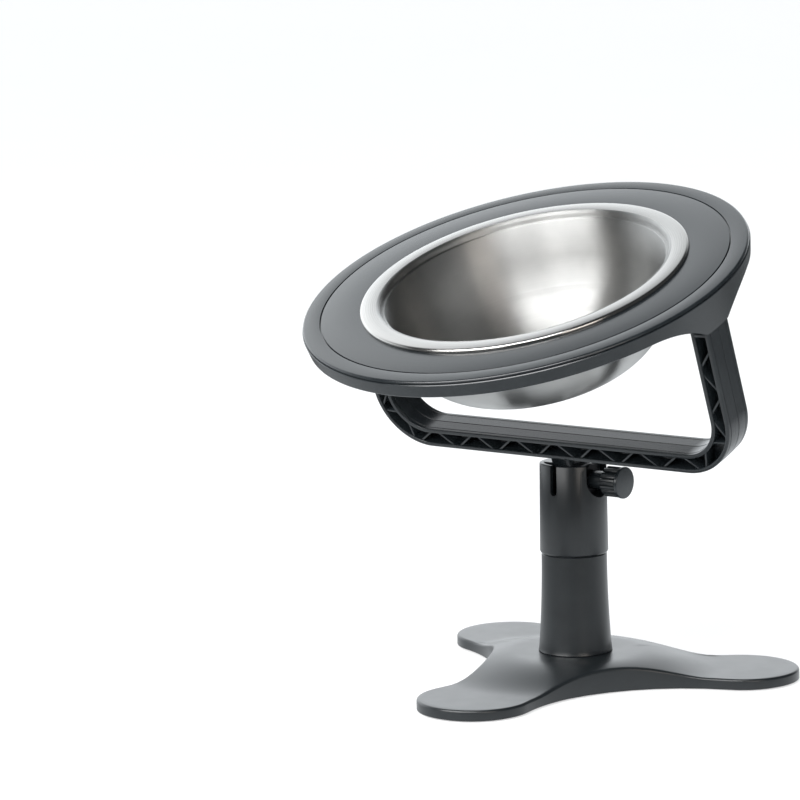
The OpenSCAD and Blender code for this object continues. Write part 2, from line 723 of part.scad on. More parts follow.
// Pressed sheet bowl: flat rim with a turned-down lip, shoulder, small ledge and round bottom
module bowl() {
    color(steel) tilted() {
        rotate_extrude($fn = 180) difference() {
            bowl_area(0);
            bowl_area(bowl_t);
            translate([-1, wall_end - bowl_t]) square([wall_r - bowl_t, 2 * bowl_t]);
        }
        rotate_extrude($fn = 180)
            polygon([[mouth_r, rim_top], [rim_r - lip_cut, rim_top], [rim_r, rim_top - lip_cut], [rim_r, tray_h],
                [rim_r - bowl_t, tray_h], [rim_r - bowl_t, rim_top - bowl_t], [mouth_r + bowl_t, rim_top - bowl_t],
                [mouth_r + bowl_t, wall_top - bowl_t], [wall_r - 0.5 * bowl_t, wall_top - bowl_t],
                [wall_r - 0.5 * bowl_t, wall_top], [mouth_r, wall_top]]);
    }
}

base_foot();
grip_ring();
column_tube();
clamp_head();
tie_bolt();
tie_washer();
tie_nut();
hinge_bolt();
clamp_washer();
knob_grip();
knob_insert();
knob_cap();
yoke_frame();
tray_plate();
tray_screws();
bowl();
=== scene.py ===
import json
import math

import bmesh
import bpy
from mathutils import Matrix, Vector


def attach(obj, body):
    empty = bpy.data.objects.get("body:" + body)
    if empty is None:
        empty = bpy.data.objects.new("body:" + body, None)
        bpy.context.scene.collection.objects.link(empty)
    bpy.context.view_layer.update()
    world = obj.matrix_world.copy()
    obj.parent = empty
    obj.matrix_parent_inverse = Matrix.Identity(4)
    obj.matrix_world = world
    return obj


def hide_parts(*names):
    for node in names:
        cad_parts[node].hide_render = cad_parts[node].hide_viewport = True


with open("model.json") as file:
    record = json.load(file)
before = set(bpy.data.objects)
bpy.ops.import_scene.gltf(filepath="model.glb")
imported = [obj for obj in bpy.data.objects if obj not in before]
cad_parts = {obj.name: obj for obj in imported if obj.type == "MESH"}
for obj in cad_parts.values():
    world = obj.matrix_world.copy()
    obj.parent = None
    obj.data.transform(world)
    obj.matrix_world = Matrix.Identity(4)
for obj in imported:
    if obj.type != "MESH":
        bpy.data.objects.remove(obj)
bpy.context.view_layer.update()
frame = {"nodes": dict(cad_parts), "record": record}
nodes = frame["nodes"]
scene = bpy.context.scene
scene.view_settings.view_transform = "Standard"
print("frame loaded:", len(nodes), "nodes")

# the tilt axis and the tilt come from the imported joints
joints = {joint["name"]: joint for joint in frame["record"]["behaviour"]["joints"]}
pivot = Vector(joints["tilt"]["pos_m"])
liftAxis = Vector(joints["bowl_lift"]["axis"])
tilt = math.atan2(-liftAxis.y, liftAxis.z)
beamDrop = 0.018  # tilt axis to the beam's underside
tiltFrame = (Matrix.Translation(pivot) @ Matrix.Rotation(tilt, 4, "X")
             @ Matrix.Translation((0, 0, beamDrop)))

alongX = Matrix.Rotation(math.pi / 2, 4, "Y")  # turns a piece's Z axis onto X
zAxis = (0, 0, 1)
fullTurn = 2 * math.pi
hair = 1e-6  # merge distance


# drawing and shaping helpers

def clearSelection():
    if bpy.context.mode != "OBJECT":
        bpy.ops.object.mode_set(mode="OBJECT")
    bpy.ops.object.select_all(action="DESELECT")


def pickOnly(piece):
    clearSelection()
    piece.select_set(True)
    bpy.context.view_layer.objects.active = piece


def nameActive(name):
    piece = bpy.context.object
    piece.name = piece.data.name = name
    return piece


def atTurn(radius, turn):
    return (radius * math.cos(turn), radius * math.sin(turn), 0)


def arc(centre, radius, fromDeg, toDeg, steps):
    turns = [math.radians(fromDeg + (toDeg - fromDeg) * i / steps) for i in range(steps + 1)]
    return [(centre[0] + radius * math.cos(turn), centre[1] + radius * math.sin(turn)) for turn in turns]


def rounded(corners, steps):
    # a closed line through (x, y, radius) corners, rounded off where a radius is given
    line = []
    for i, (x, y, radius) in enumerate(corners):
        here = Vector((x, y))
        if not radius:
            line.append((x, y))
            continue
        back = (Vector(corners[i - 1][:2]) - here).normalized()
        ahead = (Vector(corners[(i + 1) % len(corners)][:2]) - here).normalized()
        half = back.angle(ahead) / 2
        middle = here + (back + ahead).normalized() * radius / math.sin(half)
        start = here + back * radius / math.tan(half) - middle
        end = here + ahead * radius / math.tan(half) - middle
        first = math.degrees(math.atan2(start.y, start.x))
        turn = (math.degrees(math.atan2(end.y, end.x)) - first + 180) % 360 - 180
        line += arc(middle, radius, first, first + turn, steps)
    return line


def closed(profile):
    return profile + profile[:1]


def drawLine(name, points):
    # a plane merged to one vertex, which is then extruded from point to point
    clearSelection()
    bpy.ops.mesh.primitive_plane_add(size=1, location=(0, 0, 0))
    piece = nameActive(name)
    bpy.ops.object.mode_set(mode="EDIT")
    bpy.ops.mesh.select_mode(type="VERT")
    bpy.ops.mesh.select_all(action="SELECT")
    bpy.ops.mesh.merge(type="CENTER")
    bpy.ops.transform.translate(value=points[0])
    for last, point in zip(points, points[1:]):
        step = Vector(point) - Vector(last)
        if step.length > hair:
            bpy.ops.mesh.extrude_vertices_move(TRANSFORM_OT_translate={"value": step})
    return piece


def mergeDoubles(reach=hair):
    bpy.ops.mesh.select_all(action="SELECT")
    bpy.ops.mesh.remove_doubles(threshold=reach)


def mergeAndTurnOut():
    mergeDoubles()
    bpy.ops.mesh.normals_make_consistent(inside=False)
    bpy.ops.object.mode_set(mode="OBJECT")


def spinOn(steps, turn, centre, axis):
    # the spin operator counts its angle the other way round
    bpy.ops.mesh.spin(steps=steps, angle=-turn, center=centre, axis=axis)


def pullEdges(offset):
    bpy.ops.mesh.extrude_edges_move(TRANSFORM_OT_translate={"value": offset})


def pullFaces(rise):
    bpy.ops.mesh.extrude_region_move(TRANSFORM_OT_translate={"value": (0, 0, rise)})


def selectPoints(piece, test):
    bpy.ops.mesh.select_mode(type="VERT")
    bpy.ops.mesh.select_all(action="DESELECT")
    mesh = bmesh.from_edit_mesh(piece.data)
    for vertex in mesh.verts:
        vertex.select = test(vertex.co)
    mesh.select_flush(True)
    bmesh.update_edit_mesh(piece.data)


def selectEdges(piece, test):
    # the test is given the places of an edge's two ends
    bpy.ops.mesh.select_mode(type="EDGE")
    bpy.ops.mesh.select_all(action="DESELECT")
    bpy.ops.object.mode_set(mode="OBJECT")
    for edge in piece.data.edges:
        edge.select = test([piece.data.vertices[i].co for i in edge.vertices])
    bpy.ops.object.mode_set(mode="EDIT")


def selectFaces(piece, test):
    bpy.ops.mesh.select_mode(type="FACE")
    bpy.ops.mesh.select_all(action="DESELECT")
    bpy.ops.object.mode_set(mode="OBJECT")
    for face in piece.data.polygons:
        face.select = test(face)
    bpy.ops.object.mode_set(mode="EDIT")


def turnPiece(name, profile, steps):
    # spins a profile of (radius, height) points round the Z axis
    piece = drawLine(name, [(radius, 0, height) for radius, height in profile])
    bpy.ops.mesh.select_all(action="SELECT")
    spinOn(steps, fullTurn, (0, 0, 0), zAxis)
    mergeAndTurnOut()
    return piece


def applyModifier(piece, kind, **settings):
    pickOnly(piece)
    modifier = piece.modifiers.new(kind.lower(), kind)
    for key, value in settings.items():
        setattr(modifier, key, value)
    bpy.ops.object.modifier_apply(modifier=modifier.name)


def softenEdges(piece, width, segments=2, angle=40):
    applyModifier(piece, "BEVEL", width=width, segments=segments, limit_method="ANGLE",
                  angle_limit=math.radians(angle), use_clamp_overlap=True, miter_outer="MITER_ARC")


def combine(piece, other, operation):
    applyModifier(piece, "BOOLEAN", object=other, operation=operation, solver="EXACT")
    bpy.data.objects.remove(other)


def cut(piece, cutter):
    combine(piece, cutter, "DIFFERENCE")


def joinInto(piece, others):
    pickOnly(piece)
    for other in others:
        other.select_set(True)
    bpy.ops.object.join()
    return piece


def place(piece, matrix):
    pickOnly(piece)
    piece.matrix_world = matrix
    bpy.ops.object.transform_apply(location=True, rotation=True, scale=True)


def makeBlock(name, low, high, soft=0.0):
    clearSelection()
    bpy.ops.mesh.primitive_cube_add(size=1, location=(0, 0, 0))
    block = nameActive(name)
    bpy.ops.object.mode_set(mode="EDIT")
    bpy.ops.mesh.select_all(action="SELECT")
    bpy.ops.transform.resize(value=[end - start for start, end in zip(low, high)])
    bpy.ops.transform.translate(value=[(start + end) / 2 for start, end in zip(low, high)])
    if soft:
        bpy.ops.mesh.bevel(offset=soft, segments=2, affect="EDGES")
    bpy.ops.object.mode_set(mode="OBJECT")
    return block


def makeRod(name, radius, start, end, sides):
    # a cylinder along X on the tilt axis
    clearSelection()
    bpy.ops.mesh.primitive_cylinder_add(vertices=sides, radius=radius, depth=end - start,
                                        location=(0, 0, 0))
    rod = nameActive(name)
    place(rod, Matrix.Translation((start + (end - start) / 2, 0, pivot.z)) @ alongX)
    return rod


def finishPiece(piece, material, body, replaced, smoothAngle=40):
    pickOnly(piece)
    bpy.ops.object.shade_smooth_by_angle(angle=math.radians(smoothAngle))
    piece.data.materials.clear()
    piece.data.materials.append(material)
    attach(piece, body)
    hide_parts(replaced)
    print("piece:", piece.name, len(piece.data.polygons), "faces")


# materials, on Object coordinates and the bowl's own map

def newMaterial(name, **sockets):
    material = bpy.data.materials.new(name)
    material.use_nodes = True
    shader = material.node_tree.nodes["Principled BSDF"]
    for key, value in sockets.items():
        shader.inputs[key].default_value = value
    return material, material.node_tree, shader


def addNode(tree, kind, inputs=None, **properties):
    # inputs go by name or number, and are sockets to link or plain values
    node = tree.nodes.new("ShaderNode" + kind)
    for key, value in properties.items():
        setattr(node, key, value)
    for key, value in (inputs or {}).items():
        if isinstance(value, bpy.types.NodeSocket):
            tree.links.new(value, node.inputs[key])
        else:
            node.inputs[key].default_value = value
    return node


def objectCoordinates(tree, turned=False):
    # turned gives coordinates about the tilted tray's own axis
    coordinates = addNode(tree, "TexCoord").outputs["Object"]
    if not turned:
        return coordinates
    inverse = tiltFrame.inverted()
    return addNode(tree, "Mapping", {"Vector": coordinates, "Location": inverse.to_translation(),
                                     "Rotation": inverse.to_euler()}).outputs["Vector"]


def calculate(tree, operation, first, second):
    return addNode(tree, "Math", {0: first, 1: second}, operation=operation).outputs["Value"]


def measure(tree, operation, first, second):
    return addNode(tree, "VectorMath", {0: first, 1: second}, operation=operation).outputs["Value"]


def axisDistance(tree, vector):
    # the place across the Z axis, without the height
    flat = addNode(tree, "VectorMath", {0: vector, 1: (1, 1, 0)}, operation="MULTIPLY").outputs["Vector"]
    return addNode(tree, "VectorMath", {0: flat}, operation="LENGTH").outputs["Value"]


def noise(tree, vector, scale, detail, rough=0.5):
    return addNode(tree, "TexNoise", {"Vector": vector, "Scale": scale, "Detail": detail,
                                      "Roughness": rough}).outputs["Fac"]


def ringNoise(tree, distance, scale, detail, rough=0.5):
    # noise on one number alone: a distance from the axis gives rings
    return addNode(tree, "TexNoise", {"W": distance, "Scale": scale, "Detail": detail, "Roughness": rough},
                   noise_dimensions="1D").outputs["Fac"]


def ramp(tree, source, low=0, high=1, start=0.35, end=0.65):
    return addNode(tree, "MapRange", {"Value": source, "From Min": start, "From Max": end,
                                      "To Min": low, "To Max": high}).outputs["Result"]


def blendNumbers(tree, factor, first, second):
    # inputs 2 and 3 of a Mix node are its numbers, and output 0 is their blend
    return addNode(tree, "Mix", {"Factor": factor, 2: first, 3: second}, data_type="FLOAT").outputs[0]


def blendSockets(tree, factor, first, second):
    # inputs 6 and 7 of a Mix node are its colours, and output 2 is their blend
    return addNode(tree, "Mix", {"Factor": factor, 6: first, 7: second}, data_type="RGBA").outputs[2]


def blendColours(tree, factor, first, second):
    return blendSockets(tree, factor, (*first, 1), (*second, 1))


def dressShader(tree, shader, colour, roughness, relief, strength, depth):
    bump = addNode(tree, "Bump", {"Height": relief, "Strength": strength, "Distance": depth})
    tree.links.new(colour, shader.inputs["Base Color"])
    tree.links.new(roughness, shader.inputs["Roughness"])
    tree.links.new(bump.outputs["Normal"], shader.inputs["Normal"])


plasticSpec = dict(dark=(0.0062, 0.0080, 0.0093), light=(0.0084, 0.0107, 0.0122), smooth=0.225, rough=0.25,
                   bend=1.54, cloud=60, cloudDetail=4.0, cloudRough=0.6, grain=2600, grainDetail=2.0,
                   grainBump=0.35, grainDepth=0.000004, rings=900.0, ringDetail=3.0)


def mouldedPlastic(name, turned=False, streaks=0.0, paintedLight=1.0, matt=0.0):
    # charcoal moulded plastic: fine spark-eroded grain, faint clouds, and moulding streaks round the tray
    spec = plasticSpec
    material, tree, shader = newMaterial(name, IOR=spec["bend"])
    vector = objectCoordinates(tree, turned)
    cloud = noise(tree, vector, spec["cloud"], spec["cloudDetail"], spec["cloudRough"])
    grain = noise(tree, vector, spec["grain"], spec["grainDetail"])
    # paintedLight scales the colour; above 1 it is painted light on a piece of the same plastic
    dark, light = [[part * paintedLight for part in spec[tone]] for tone in ("dark", "light")]
    colour = blendColours(tree, ramp(tree, cloud), dark, light)
    roughness = ramp(tree, cloud, spec["smooth"] + matt, spec["rough"] + matt)
    if streaks:
        # rings of slightly different gloss
        rings = ringNoise(tree, axisDistance(tree, vector), spec["rings"], spec["ringDetail"])
        roughness = calculate(tree, "ADD", roughness, ramp(tree, rings, -streaks, streaks))
    dressShader(tree, shader, colour, roughness, grain, spec["grainBump"], spec["grainDepth"])
    return material


steelSpec = dict(dull=(0.40, 0.40, 0.395), bright=(0.49, 0.49, 0.48), rimDull=(0.40, 0.392, 0.38),
                 rimBright=(0.53, 0.522, 0.508), smooth=0.40, rough=0.51, outerRough=0.28, rimRough=0.20,
                 rimStart=0.0893, rimEnd=0.0903, streak=0.97, rimStreak=0.6, streakTurn=0.25,
                 lines=2400, lineDetail=4.0, lineRough=0.65, lineBump=0.5, lineDepth=0.000002,
                 cloud=26.0, cloudDetail=3.0)
outerMark = 1.0  # added to the second number of the bowl's map on the outside of the sheet


def brushedSteel(name):
    # stainless sheet, brushed in circles about the bowl's axis inside, polished on the rim
    spec = steelSpec
    rimZone = (spec["rimStart"], spec["rimEnd"])
    sockets = {"Metallic": 1.0, "Anisotropic Rotation": spec["streakTurn"]}
    material, tree, shader = newMaterial(name, **sockets)
    vector = objectCoordinates(tree, turned=True)
    radius = axisDistance(tree, vector)
    height = addNode(tree, "SeparateXYZ", {"Vector": vector}).outputs["Z"]
    along = calculate(tree, "SUBTRACT", radius, height)
    lines = ringNoise(tree, along, spec["lines"], spec["lineDetail"], spec["lineRough"])
    cloud = noise(tree, vector, spec["cloud"], spec["cloudDetail"])
    onRim = ramp(tree, radius, 0, 1, *rimZone)
    sheet = blendColours(tree, ramp(tree, cloud), spec["dull"], spec["bright"])
    polish = blendColours(tree, ramp(tree, lines), spec["rimDull"], spec["rimBright"])
    # the outside of the sheet is smoother
    roundMap = addNode(tree, "UVMap", uv_map="round").outputs["UV"]
    mark = addNode(tree, "SeparateXYZ", {"Vector": roundMap}).outputs["Y"]
    outside = calculate(tree, "GREATER_THAN", mark, outerMark / 2)
    skin = blendNumbers(tree, outside, ramp(tree, lines, spec["smooth"], spec["rough"]), spec["outerRough"])
    colour = blendSockets(tree, onRim, sheet, polish)
    roughness = blendNumbers(tree, onRim, skin, spec["rimRough"])
    dressShader(tree, shader, colour, roughness, lines, spec["lineBump"], spec["lineDepth"])
    tangent = addNode(tree, "Tangent", direction_type="UV_MAP", uv_map="round").outputs["Tangent"]
    tree.links.new(tangent, shader.inputs["Tangent"])
    streak = ramp(tree, radius, spec["streak"], spec["rimStreak"], *rimZone)
    tree.links.new(streak, shader.inputs["Anisotropic"])
    return material


metalSpec = dict(cloud=180.0, cloudDetail=5.0, cloudRough=0.6, fine=2520.0, fineDetail=2.0, fineBump=0.25,
                 fineDepth=0.00001)


def platedMetal(name, dull, bright, smooth, rough):
    # fasteners: cloudy plating with a fine grain
    spec = metalSpec
    material, tree, shader = newMaterial(name, Metallic=1.0)
    vector = objectCoordinates(tree)
    cloud = noise(tree, vector, spec["cloud"], spec["cloudDetail"], spec["cloudRough"])
    fine = noise(tree, vector, spec["fine"], spec["fineDetail"])
    colour = blendColours(tree, ramp(tree, cloud), dull, bright)
    roughness = ramp(tree, cloud, smooth, rough)
    dressShader(tree, shader, colour, roughness, fine, spec["fineBump"], spec["fineDepth"])
    return material


rubberSpec = dict(dark=(0.008, 0.008, 0.008), light=(0.014, 0.014, 0.014), smooth=0.7, rough=0.85,
                  cloud=90.0, cloudDetail=4.0, pores=1800.0, poreBump=0.3, poreDepth=0.00004)


def mattRubber(name):
    # the strip under the foot: dull, with fine pores
    spec = rubberSpec
    material, tree, shader = newMaterial(name)
    vector = objectCoordinates(tree)
    cloud = noise(tree, vector, spec["cloud"], spec["cloudDetail"])
    pores = addNode(tree, "TexVoronoi", {"Vector": vector, "Scale": spec["pores"]}).outputs["Distance"]
    colour = blendColours(tree, ramp(tree, cloud), spec["dark"], spec["light"])
    roughness = ramp(tree, cloud, spec["smooth"], spec["rough"])
    dressShader(tree, shader, colour, roughness, pores, spec["poreBump"], spec["poreDepth"])
    return material


standPlastic = mouldedPlastic("standPlastic", matt=0.08)
# the carrier, tray and cap are the stand's plastic, with a lighter colour that is painted light standing in
# for the light they catch
carrierPlastic = mouldedPlastic("carrierPlastic", turned=True, paintedLight=1.25)
trayPlastic = mouldedPlastic("trayPlastic", turned=True, streaks=0.015, paintedLight=1.15)
capPlastic = mouldedPlastic("capPlastic", paintedLight=1.6)
bowlSteel = brushedSteel("bowlSteel")
boltZinc = platedMetal("boltZinc", dull=(0.42, 0.43, 0.44), bright=(0.60, 0.61, 0.62),
                       smooth=0.25, rough=0.4)
boltBlack = platedMetal("boltBlack", dull=(0.012, 0.012, 0.013), bright=(0.022, 0.022, 0.024),
                        smooth=0.35, rough=0.5)
insertBrass = platedMetal("insertBrass", dull=(0.50, 0.36, 0.14), bright=(0.66, 0.50, 0.22),
                          smooth=0.25, rough=0.38)
gripRubber = mattRubber("gripRubber")
print("materials made")


# tray and bowl heights are counted from the beam's underside
traySpec = dict(height=0.118, radius=0.1355, thick=0.003, edgeRound=0.0014, edgeThick=0.0015, rebate=0.0038,
                hole=0.0902, collarDepth=0.009, collarWall=0.0022, collarRound=0.001, grooveInset=0.011,
                grooveWide=0.0009, grooveDeep=0.0014, grooveEdge=0.00015, edgeSoft=0.0004, skirtStep=0.0005,
                roundSteps=5, steps=224)
trayUnder = traySpec["height"] - traySpec["thick"]
skirtRadius = traySpec["radius"] + traySpec["skirtStep"]


# bowl: pressed sheet with a flat rim and a turned-down lip
bowlSpec = dict(rim=0.100, mouth=0.0875, rimHeight=0.0021, depth=0.0645, sheet=0.0009, shoulder=0.004,
                ledge=0.0012, ledgeSet=0.6, ledgeRound=0.0003, bottom=0.040, bottomRound=0.044,
                mouthRound=0.0020, lipRound=0.0016, lipEdge=0.0002, foldRound=0.0004, underStep=0.0003,
                seat=0.00005, bottomSteps=26, roundSteps=4, steps=224)


def bowlProfile():
    spec = bowlSpec
    sheet, rim, mouth, bottomRound = spec["sheet"], spec["rim"], spec["mouth"], spec["bottomRound"]
    top = traySpec["height"] + spec["rimHeight"]
    seat = traySpec["height"] + spec["seat"]
    low = top - spec["depth"]
    wallRadius, wallTop = mouth - spec["ledge"], top - spec["shoulder"]
    # the straight wall meets the bottom's rounding without a kink
    centre = (spec["bottom"], low + bottomRound)
    across, rise = wallRadius - centre[0], wallTop - sheet / 2 - centre[1]
    lean = math.atan2(rise, across) - math.acos(bottomRound / math.hypot(across, rise))
    turn = math.degrees(lean)
    inside = [(0, low + sheet)] + arc(centre, bottomRound - sheet, -90, turn, spec["bottomSteps"])
    outside = arc(centre, bottomRound, turn, -90, spec["bottomSteps"]) + [(0, low)]
    ledge, lip, fold = spec["ledgeRound"], spec["lipEdge"], spec["foldRound"]
    corners = [(wallRadius - sheet * math.cos(lean), wallTop - sheet / 2 - sheet * math.sin(lean), 0),
               (wallRadius - spec["ledgeSet"] * sheet, wallTop, ledge), (mouth, wallTop, ledge),
               (mouth, top, spec["mouthRound"]), (rim, top, spec["lipRound"]),
               (rim, seat, lip), (rim - sheet, seat, lip), (rim - sheet, top - sheet, fold),
               (mouth + sheet, top - sheet, fold), (mouth + sheet, wallTop - sheet, lip),
               (wallRadius + spec["underStep"], wallTop - sheet, 0)]
    return inside + rounded(corners, spec["roundSteps"]) + outside


def mapRound(piece):
    # the turn about the axis, and the place along the sheet with a mark added on its outside
    mesh = piece.data
    roundMap = mesh.uv_layers.new(name="round")
    for face in mesh.polygons:
        points = [mesh.vertices[i].co for i in face.vertices]
        turns = [math.atan2(point.y, point.x) for point in points]
        wrap = max(turns) - min(turns) > math.pi
        mark = outerMark if face.normal.to_2d().dot(face.center.to_2d()) > 0 else 0
        for loop, point, turn in zip(face.loop_indices, points, turns):
            turn += fullTurn if wrap and turn < 0 else 0
            roundMap.data[loop].uv = (turn / fullTurn, point.to_2d().length - point.z + mark)


bowl = turnPiece("bowlSheet", bowlProfile(), bowlSpec["steps"])
mapRound(bowl)
place(bowl, tiltFrame)
finishPiece(bowl, bowlSteel, "dish", "bowl")


# tray plate: round edge, fine groove, collar, ribs and screw bosses underneath
screwSpec = dict(count=6, inset=0.018)
trayBossSpec = dict(hole=0.0018, radius=0.005, high=0.00145, lap=0.0001, soft=0.0003, steps=40)
collarRibSpec = dict(count=12, start=0.0011, end=0.110, half=0.001, low=0.007, high=0.002, soft=0.0003)


def trayProfile():
    spec = traySpec
    top, hole, radius, soft = spec["height"], spec["hole"], spec["radius"], spec["edgeSoft"]
    edgeLow, collarLow = top - spec["edgeThick"], top - spec["collarDepth"]
    step, wall = radius - spec["rebate"], hole + spec["collarWall"]
    grooveLow, grooveEdge = top - spec["grooveDeep"], spec["grooveEdge"]
    grooveIn = radius - spec["grooveInset"] - spec["grooveWide"] / 2
    grooveOut = grooveIn + spec["grooveWide"]
    corners = [(hole, collarLow, soft), (hole, top, soft),
               (grooveIn, top, grooveEdge), (grooveIn, grooveLow, 0),
               (grooveOut, grooveLow, 0), (grooveOut, top, grooveEdge),
               (radius, top, spec["edgeRound"]), (radius, edgeLow, 0),
               (step, edgeLow, 0), (step, trayUnder, soft),
               (wall, trayUnder, spec["collarRound"]), (wall, collarLow, soft)]
    return closed(rounded(corners, spec["roundSteps"]))


def makeBosses(name, spec, face):
    # round bosses that hang from a face, one for each screw
    top, low = face + spec["lap"], face - spec["high"]
    profile = [(spec["hole"], top), (spec["radius"], top), (spec["radius"], low + spec["soft"]),
               (spec["radius"] - spec["soft"], low), (spec["hole"], low)]
    bosses = []
    for i in range(screwSpec["count"]):
        boss = turnPiece("%s%d" % (name, i), closed(profile), spec["steps"])
        turn = Matrix.Rotation(fullTurn * (i + 0.5) / screwSpec["count"], 4, "Z")
        place(boss, turn @ Matrix.Translation((skirtRadius - screwSpec["inset"], 0, 0)))
        bosses.append(boss)
    return bosses


def makeCollarRibs():
    spec = collarRibSpec
    start, top = traySpec["hole"] + spec["start"], traySpec["height"]
    ribs = []
    for i in range(spec["count"]):
        rib = makeBlock("collarRib%d" % i, (start, -spec["half"], top - spec["low"]),
                        (spec["end"], spec["half"], top - spec["high"]), spec["soft"])
        place(rib, Matrix.Rotation(fullTurn * i / spec["count"], 4, "Z"))
        ribs.append(rib)
    return ribs


tray = turnPiece("trayPlate", trayProfile(), traySpec["steps"])
joinInto(tray, makeBosses("trayBoss", trayBossSpec, trayUnder) + makeCollarRibs())
place(tray, tiltFrame)
finishPiece(tray, trayPlastic, "carrier", "tray_plate", smoothAngle=30)


# yoke frame: I-section beam swept round the U, zigzag ribs, ring with a leaning skirt, lug
yokeSpec = dict(inset=0.0037, corner=0.0365, wide=0.022, deep=0.0126, flange=0.0025, web=0.0022,
                crest=0.0003, flangeRound=0.0005, webRound=0.0006, groove=0.0008, grooveDeep=0.0007,
                grooveInset=0.0027, roundSteps=3, cornerSteps=24)
# a rib's corner pair gives the turns of its outer and inner ends, in degrees
ribSpec = dict(thick=0.0013, pitch=0.0152, gap=0.0028, back=0.0007, low=0.6, soft=0.00025, legDrop=0.0049,
               corner=((-23, -34), (-67, -52), (-74.5, -95)), shelf=0.002, shelfLap=0.0002, shelfBack=0.0002)
skirtSpec = dict(gap=0.0005, shallow=0.0084, deep=0.0226, half=0.0115, fillet=0.070, lean=0.17, wall=0.0026,
                 innerSet=0.001, ringWide=0.024, landIn=0.004, soft=0.0004, edgeShare=1.5, slice=0.0002,
                 steps=288)
ringBossSpec = dict(hole=0.002, radius=0.0056, high=0.0016, lap=0.0005, soft=0.0003, steps=40)
lugSpec = dict(half=0.008, barrel=0.0102, neck=0.0068, bolt=0.00306, heelHalf=0.004, heelReach=0.0167,
               heelLow=0.012, heelHigh=0.0065, braceOut=0.003, soft=0.0008, roundSteps=4, steps=72)
yokeHalf = traySpec["radius"] - yokeSpec["inset"]
uprightTop = trayUnder - skirtSpec["wall"]
skirtTop = traySpec["height"] - traySpec["edgeThick"] - skirtSpec["gap"]
ribLow = yokeSpec["flange"] * ribSpec["low"]
ribHigh = yokeSpec["deep"] - ribLow
ribHalf = (ribSpec["pitch"] - ribSpec["gap"]) / 2


def sectionPoints():
    # (depth from the outer face, width from the web's middle); fine grooves run along both faces
    spec = yokeSpec
    half, web, crest, flange = spec["wide"] / 2, spec["web"] / 2, spec["crest"], spec["flange"]
    groove, cut, edge = spec["groove"] / 2, spec["grooveDeep"], half - spec["grooveInset"]
    face = [(0, cut), (groove, 0), (edge - groove, 0), (edge, cut), (edge + groove, 0)]
    quarter = [(crest * wide / half + deep, wide, 0) for wide, deep in face]
    quarter += [(crest, half, spec["flangeRound"]), (crest + flange, half, spec["flangeRound"]),
                (2 * crest + flange, web, spec["webRound"])]
    side = quarter + [(spec["deep"] - deep, wide, radius) for deep, wide, radius in reversed(quarter)]
    otherSide = [(deep, -wide, radius) for deep, wide, radius in side[-2:0:-1]]
    return rounded(side + otherSide, spec["roundSteps"])


def sweepYoke():
    # half the U from the middle outwards, then mirrored
    corner = yokeSpec["corner"]
    run = yokeHalf - corner
    piece = drawLine("yokeBeam", closed([(0, wide, deep) for deep, wide in sectionPoints()]))
    mergeDoubles()
    pullEdges((run, 0, 0))
    spinOn(yokeSpec["cornerSteps"], -math.pi / 2, (run, 0, corner), (0, 1, 0))
    pullEdges((0, 0, uprightTop - corner))
    bpy.ops.mesh.edge_face_add()
    mergeDoubles()
    bpy.ops.object.mode_set(mode="OBJECT")
    applyModifier(piece, "MIRROR", use_axis=(True, False, False), merge_threshold=hair * 10)
    bpy.ops.object.mode_set(mode="EDIT")
    mergeAndTurnOut()
    return piece


def ribBetween(first, second):
    # a thin plate from point to point of the yoke's plane
    reach = Vector((second[0] - first[0], second[1] - first[1]))
    half, thick = yokeSpec["wide"] / 2 - ribSpec["back"], ribSpec["thick"] / 2
    rib = makeBlock("rib", (0, -half, -thick), (reach.length, half, thick), ribSpec["soft"])
    lean = Matrix.Rotation(-math.atan2(reach.y, reach.x), 4, "Y")
    place(rib, Matrix.Translation((first[0], 0, first[1])) @ lean)
    return rib


def beamRibs():
    ribs = []
    count = int((yokeHalf - yokeSpec["corner"]) / ribSpec["pitch"])
    for k in range(-count, count):
        half = ribHalf if (k + 1) % 2 == 0 else -ribHalf
        middle = (k + 0.5) * ribSpec["pitch"]
        ribs.append(ribBetween((middle - half, ribLow), (middle + half, ribHigh)))
    return ribs


def legRibs(side):
    corner = yokeSpec["corner"]
    outer, inner = side * (yokeHalf - ribLow), side * (yokeHalf - ribHigh)
    ribs = []
    for k in range(int((uprightTop - corner) / ribSpec["pitch"])):
        middle = corner - ribSpec["legDrop"] + k * ribSpec["pitch"]
        first, second = (outer, inner) if k % 2 == 0 else (inner, outer)
        below = corner - middle + ribHalf
        if below > 0:
            # the lowest rib starts where the corner has begun to turn
            first = side * (yokeHalf - corner + math.sqrt((corner - ribLow) ** 2 - below ** 2))
        ribs.append(ribBetween((first, middle - ribHalf), (second, middle + ribHalf)))
    return ribs


def cornerRibs(side):
    corner = yokeSpec["corner"]
    ribs = []
    for turns in ribSpec["corner"]:
        ends = []
        for radius, turn in zip((corner - ribLow, corner - ribHigh), turns):
            across, rise, _ = atTurn(radius, math.radians(turn))
            ends.append((side * (yokeHalf - corner + across), corner + rise))
        ribs.append(ribBetween(*ends))
    return ribs


def makeShelf(side):
    # closes the open section where the skirt's bracket begins
    top = skirtTop - skirtSpec["deep"] + ribSpec["shelfLap"]
    reach = yokeSpec["wide"] / 2 - ribSpec["shelfBack"]
    start, end = sorted((side * (yokeHalf - ribLow), side * (yokeHalf - ribHigh)))
    return makeBlock("shelf", (start, -reach, top - ribSpec["shelf"]), (end, reach, top), ribSpec["soft"])


def zigzagRibs():
    ribs = beamRibs()
    for side in (1, -1):
        ribs += legRibs(side) + cornerRibs(side) + [makeShelf(side)]
    return ribs


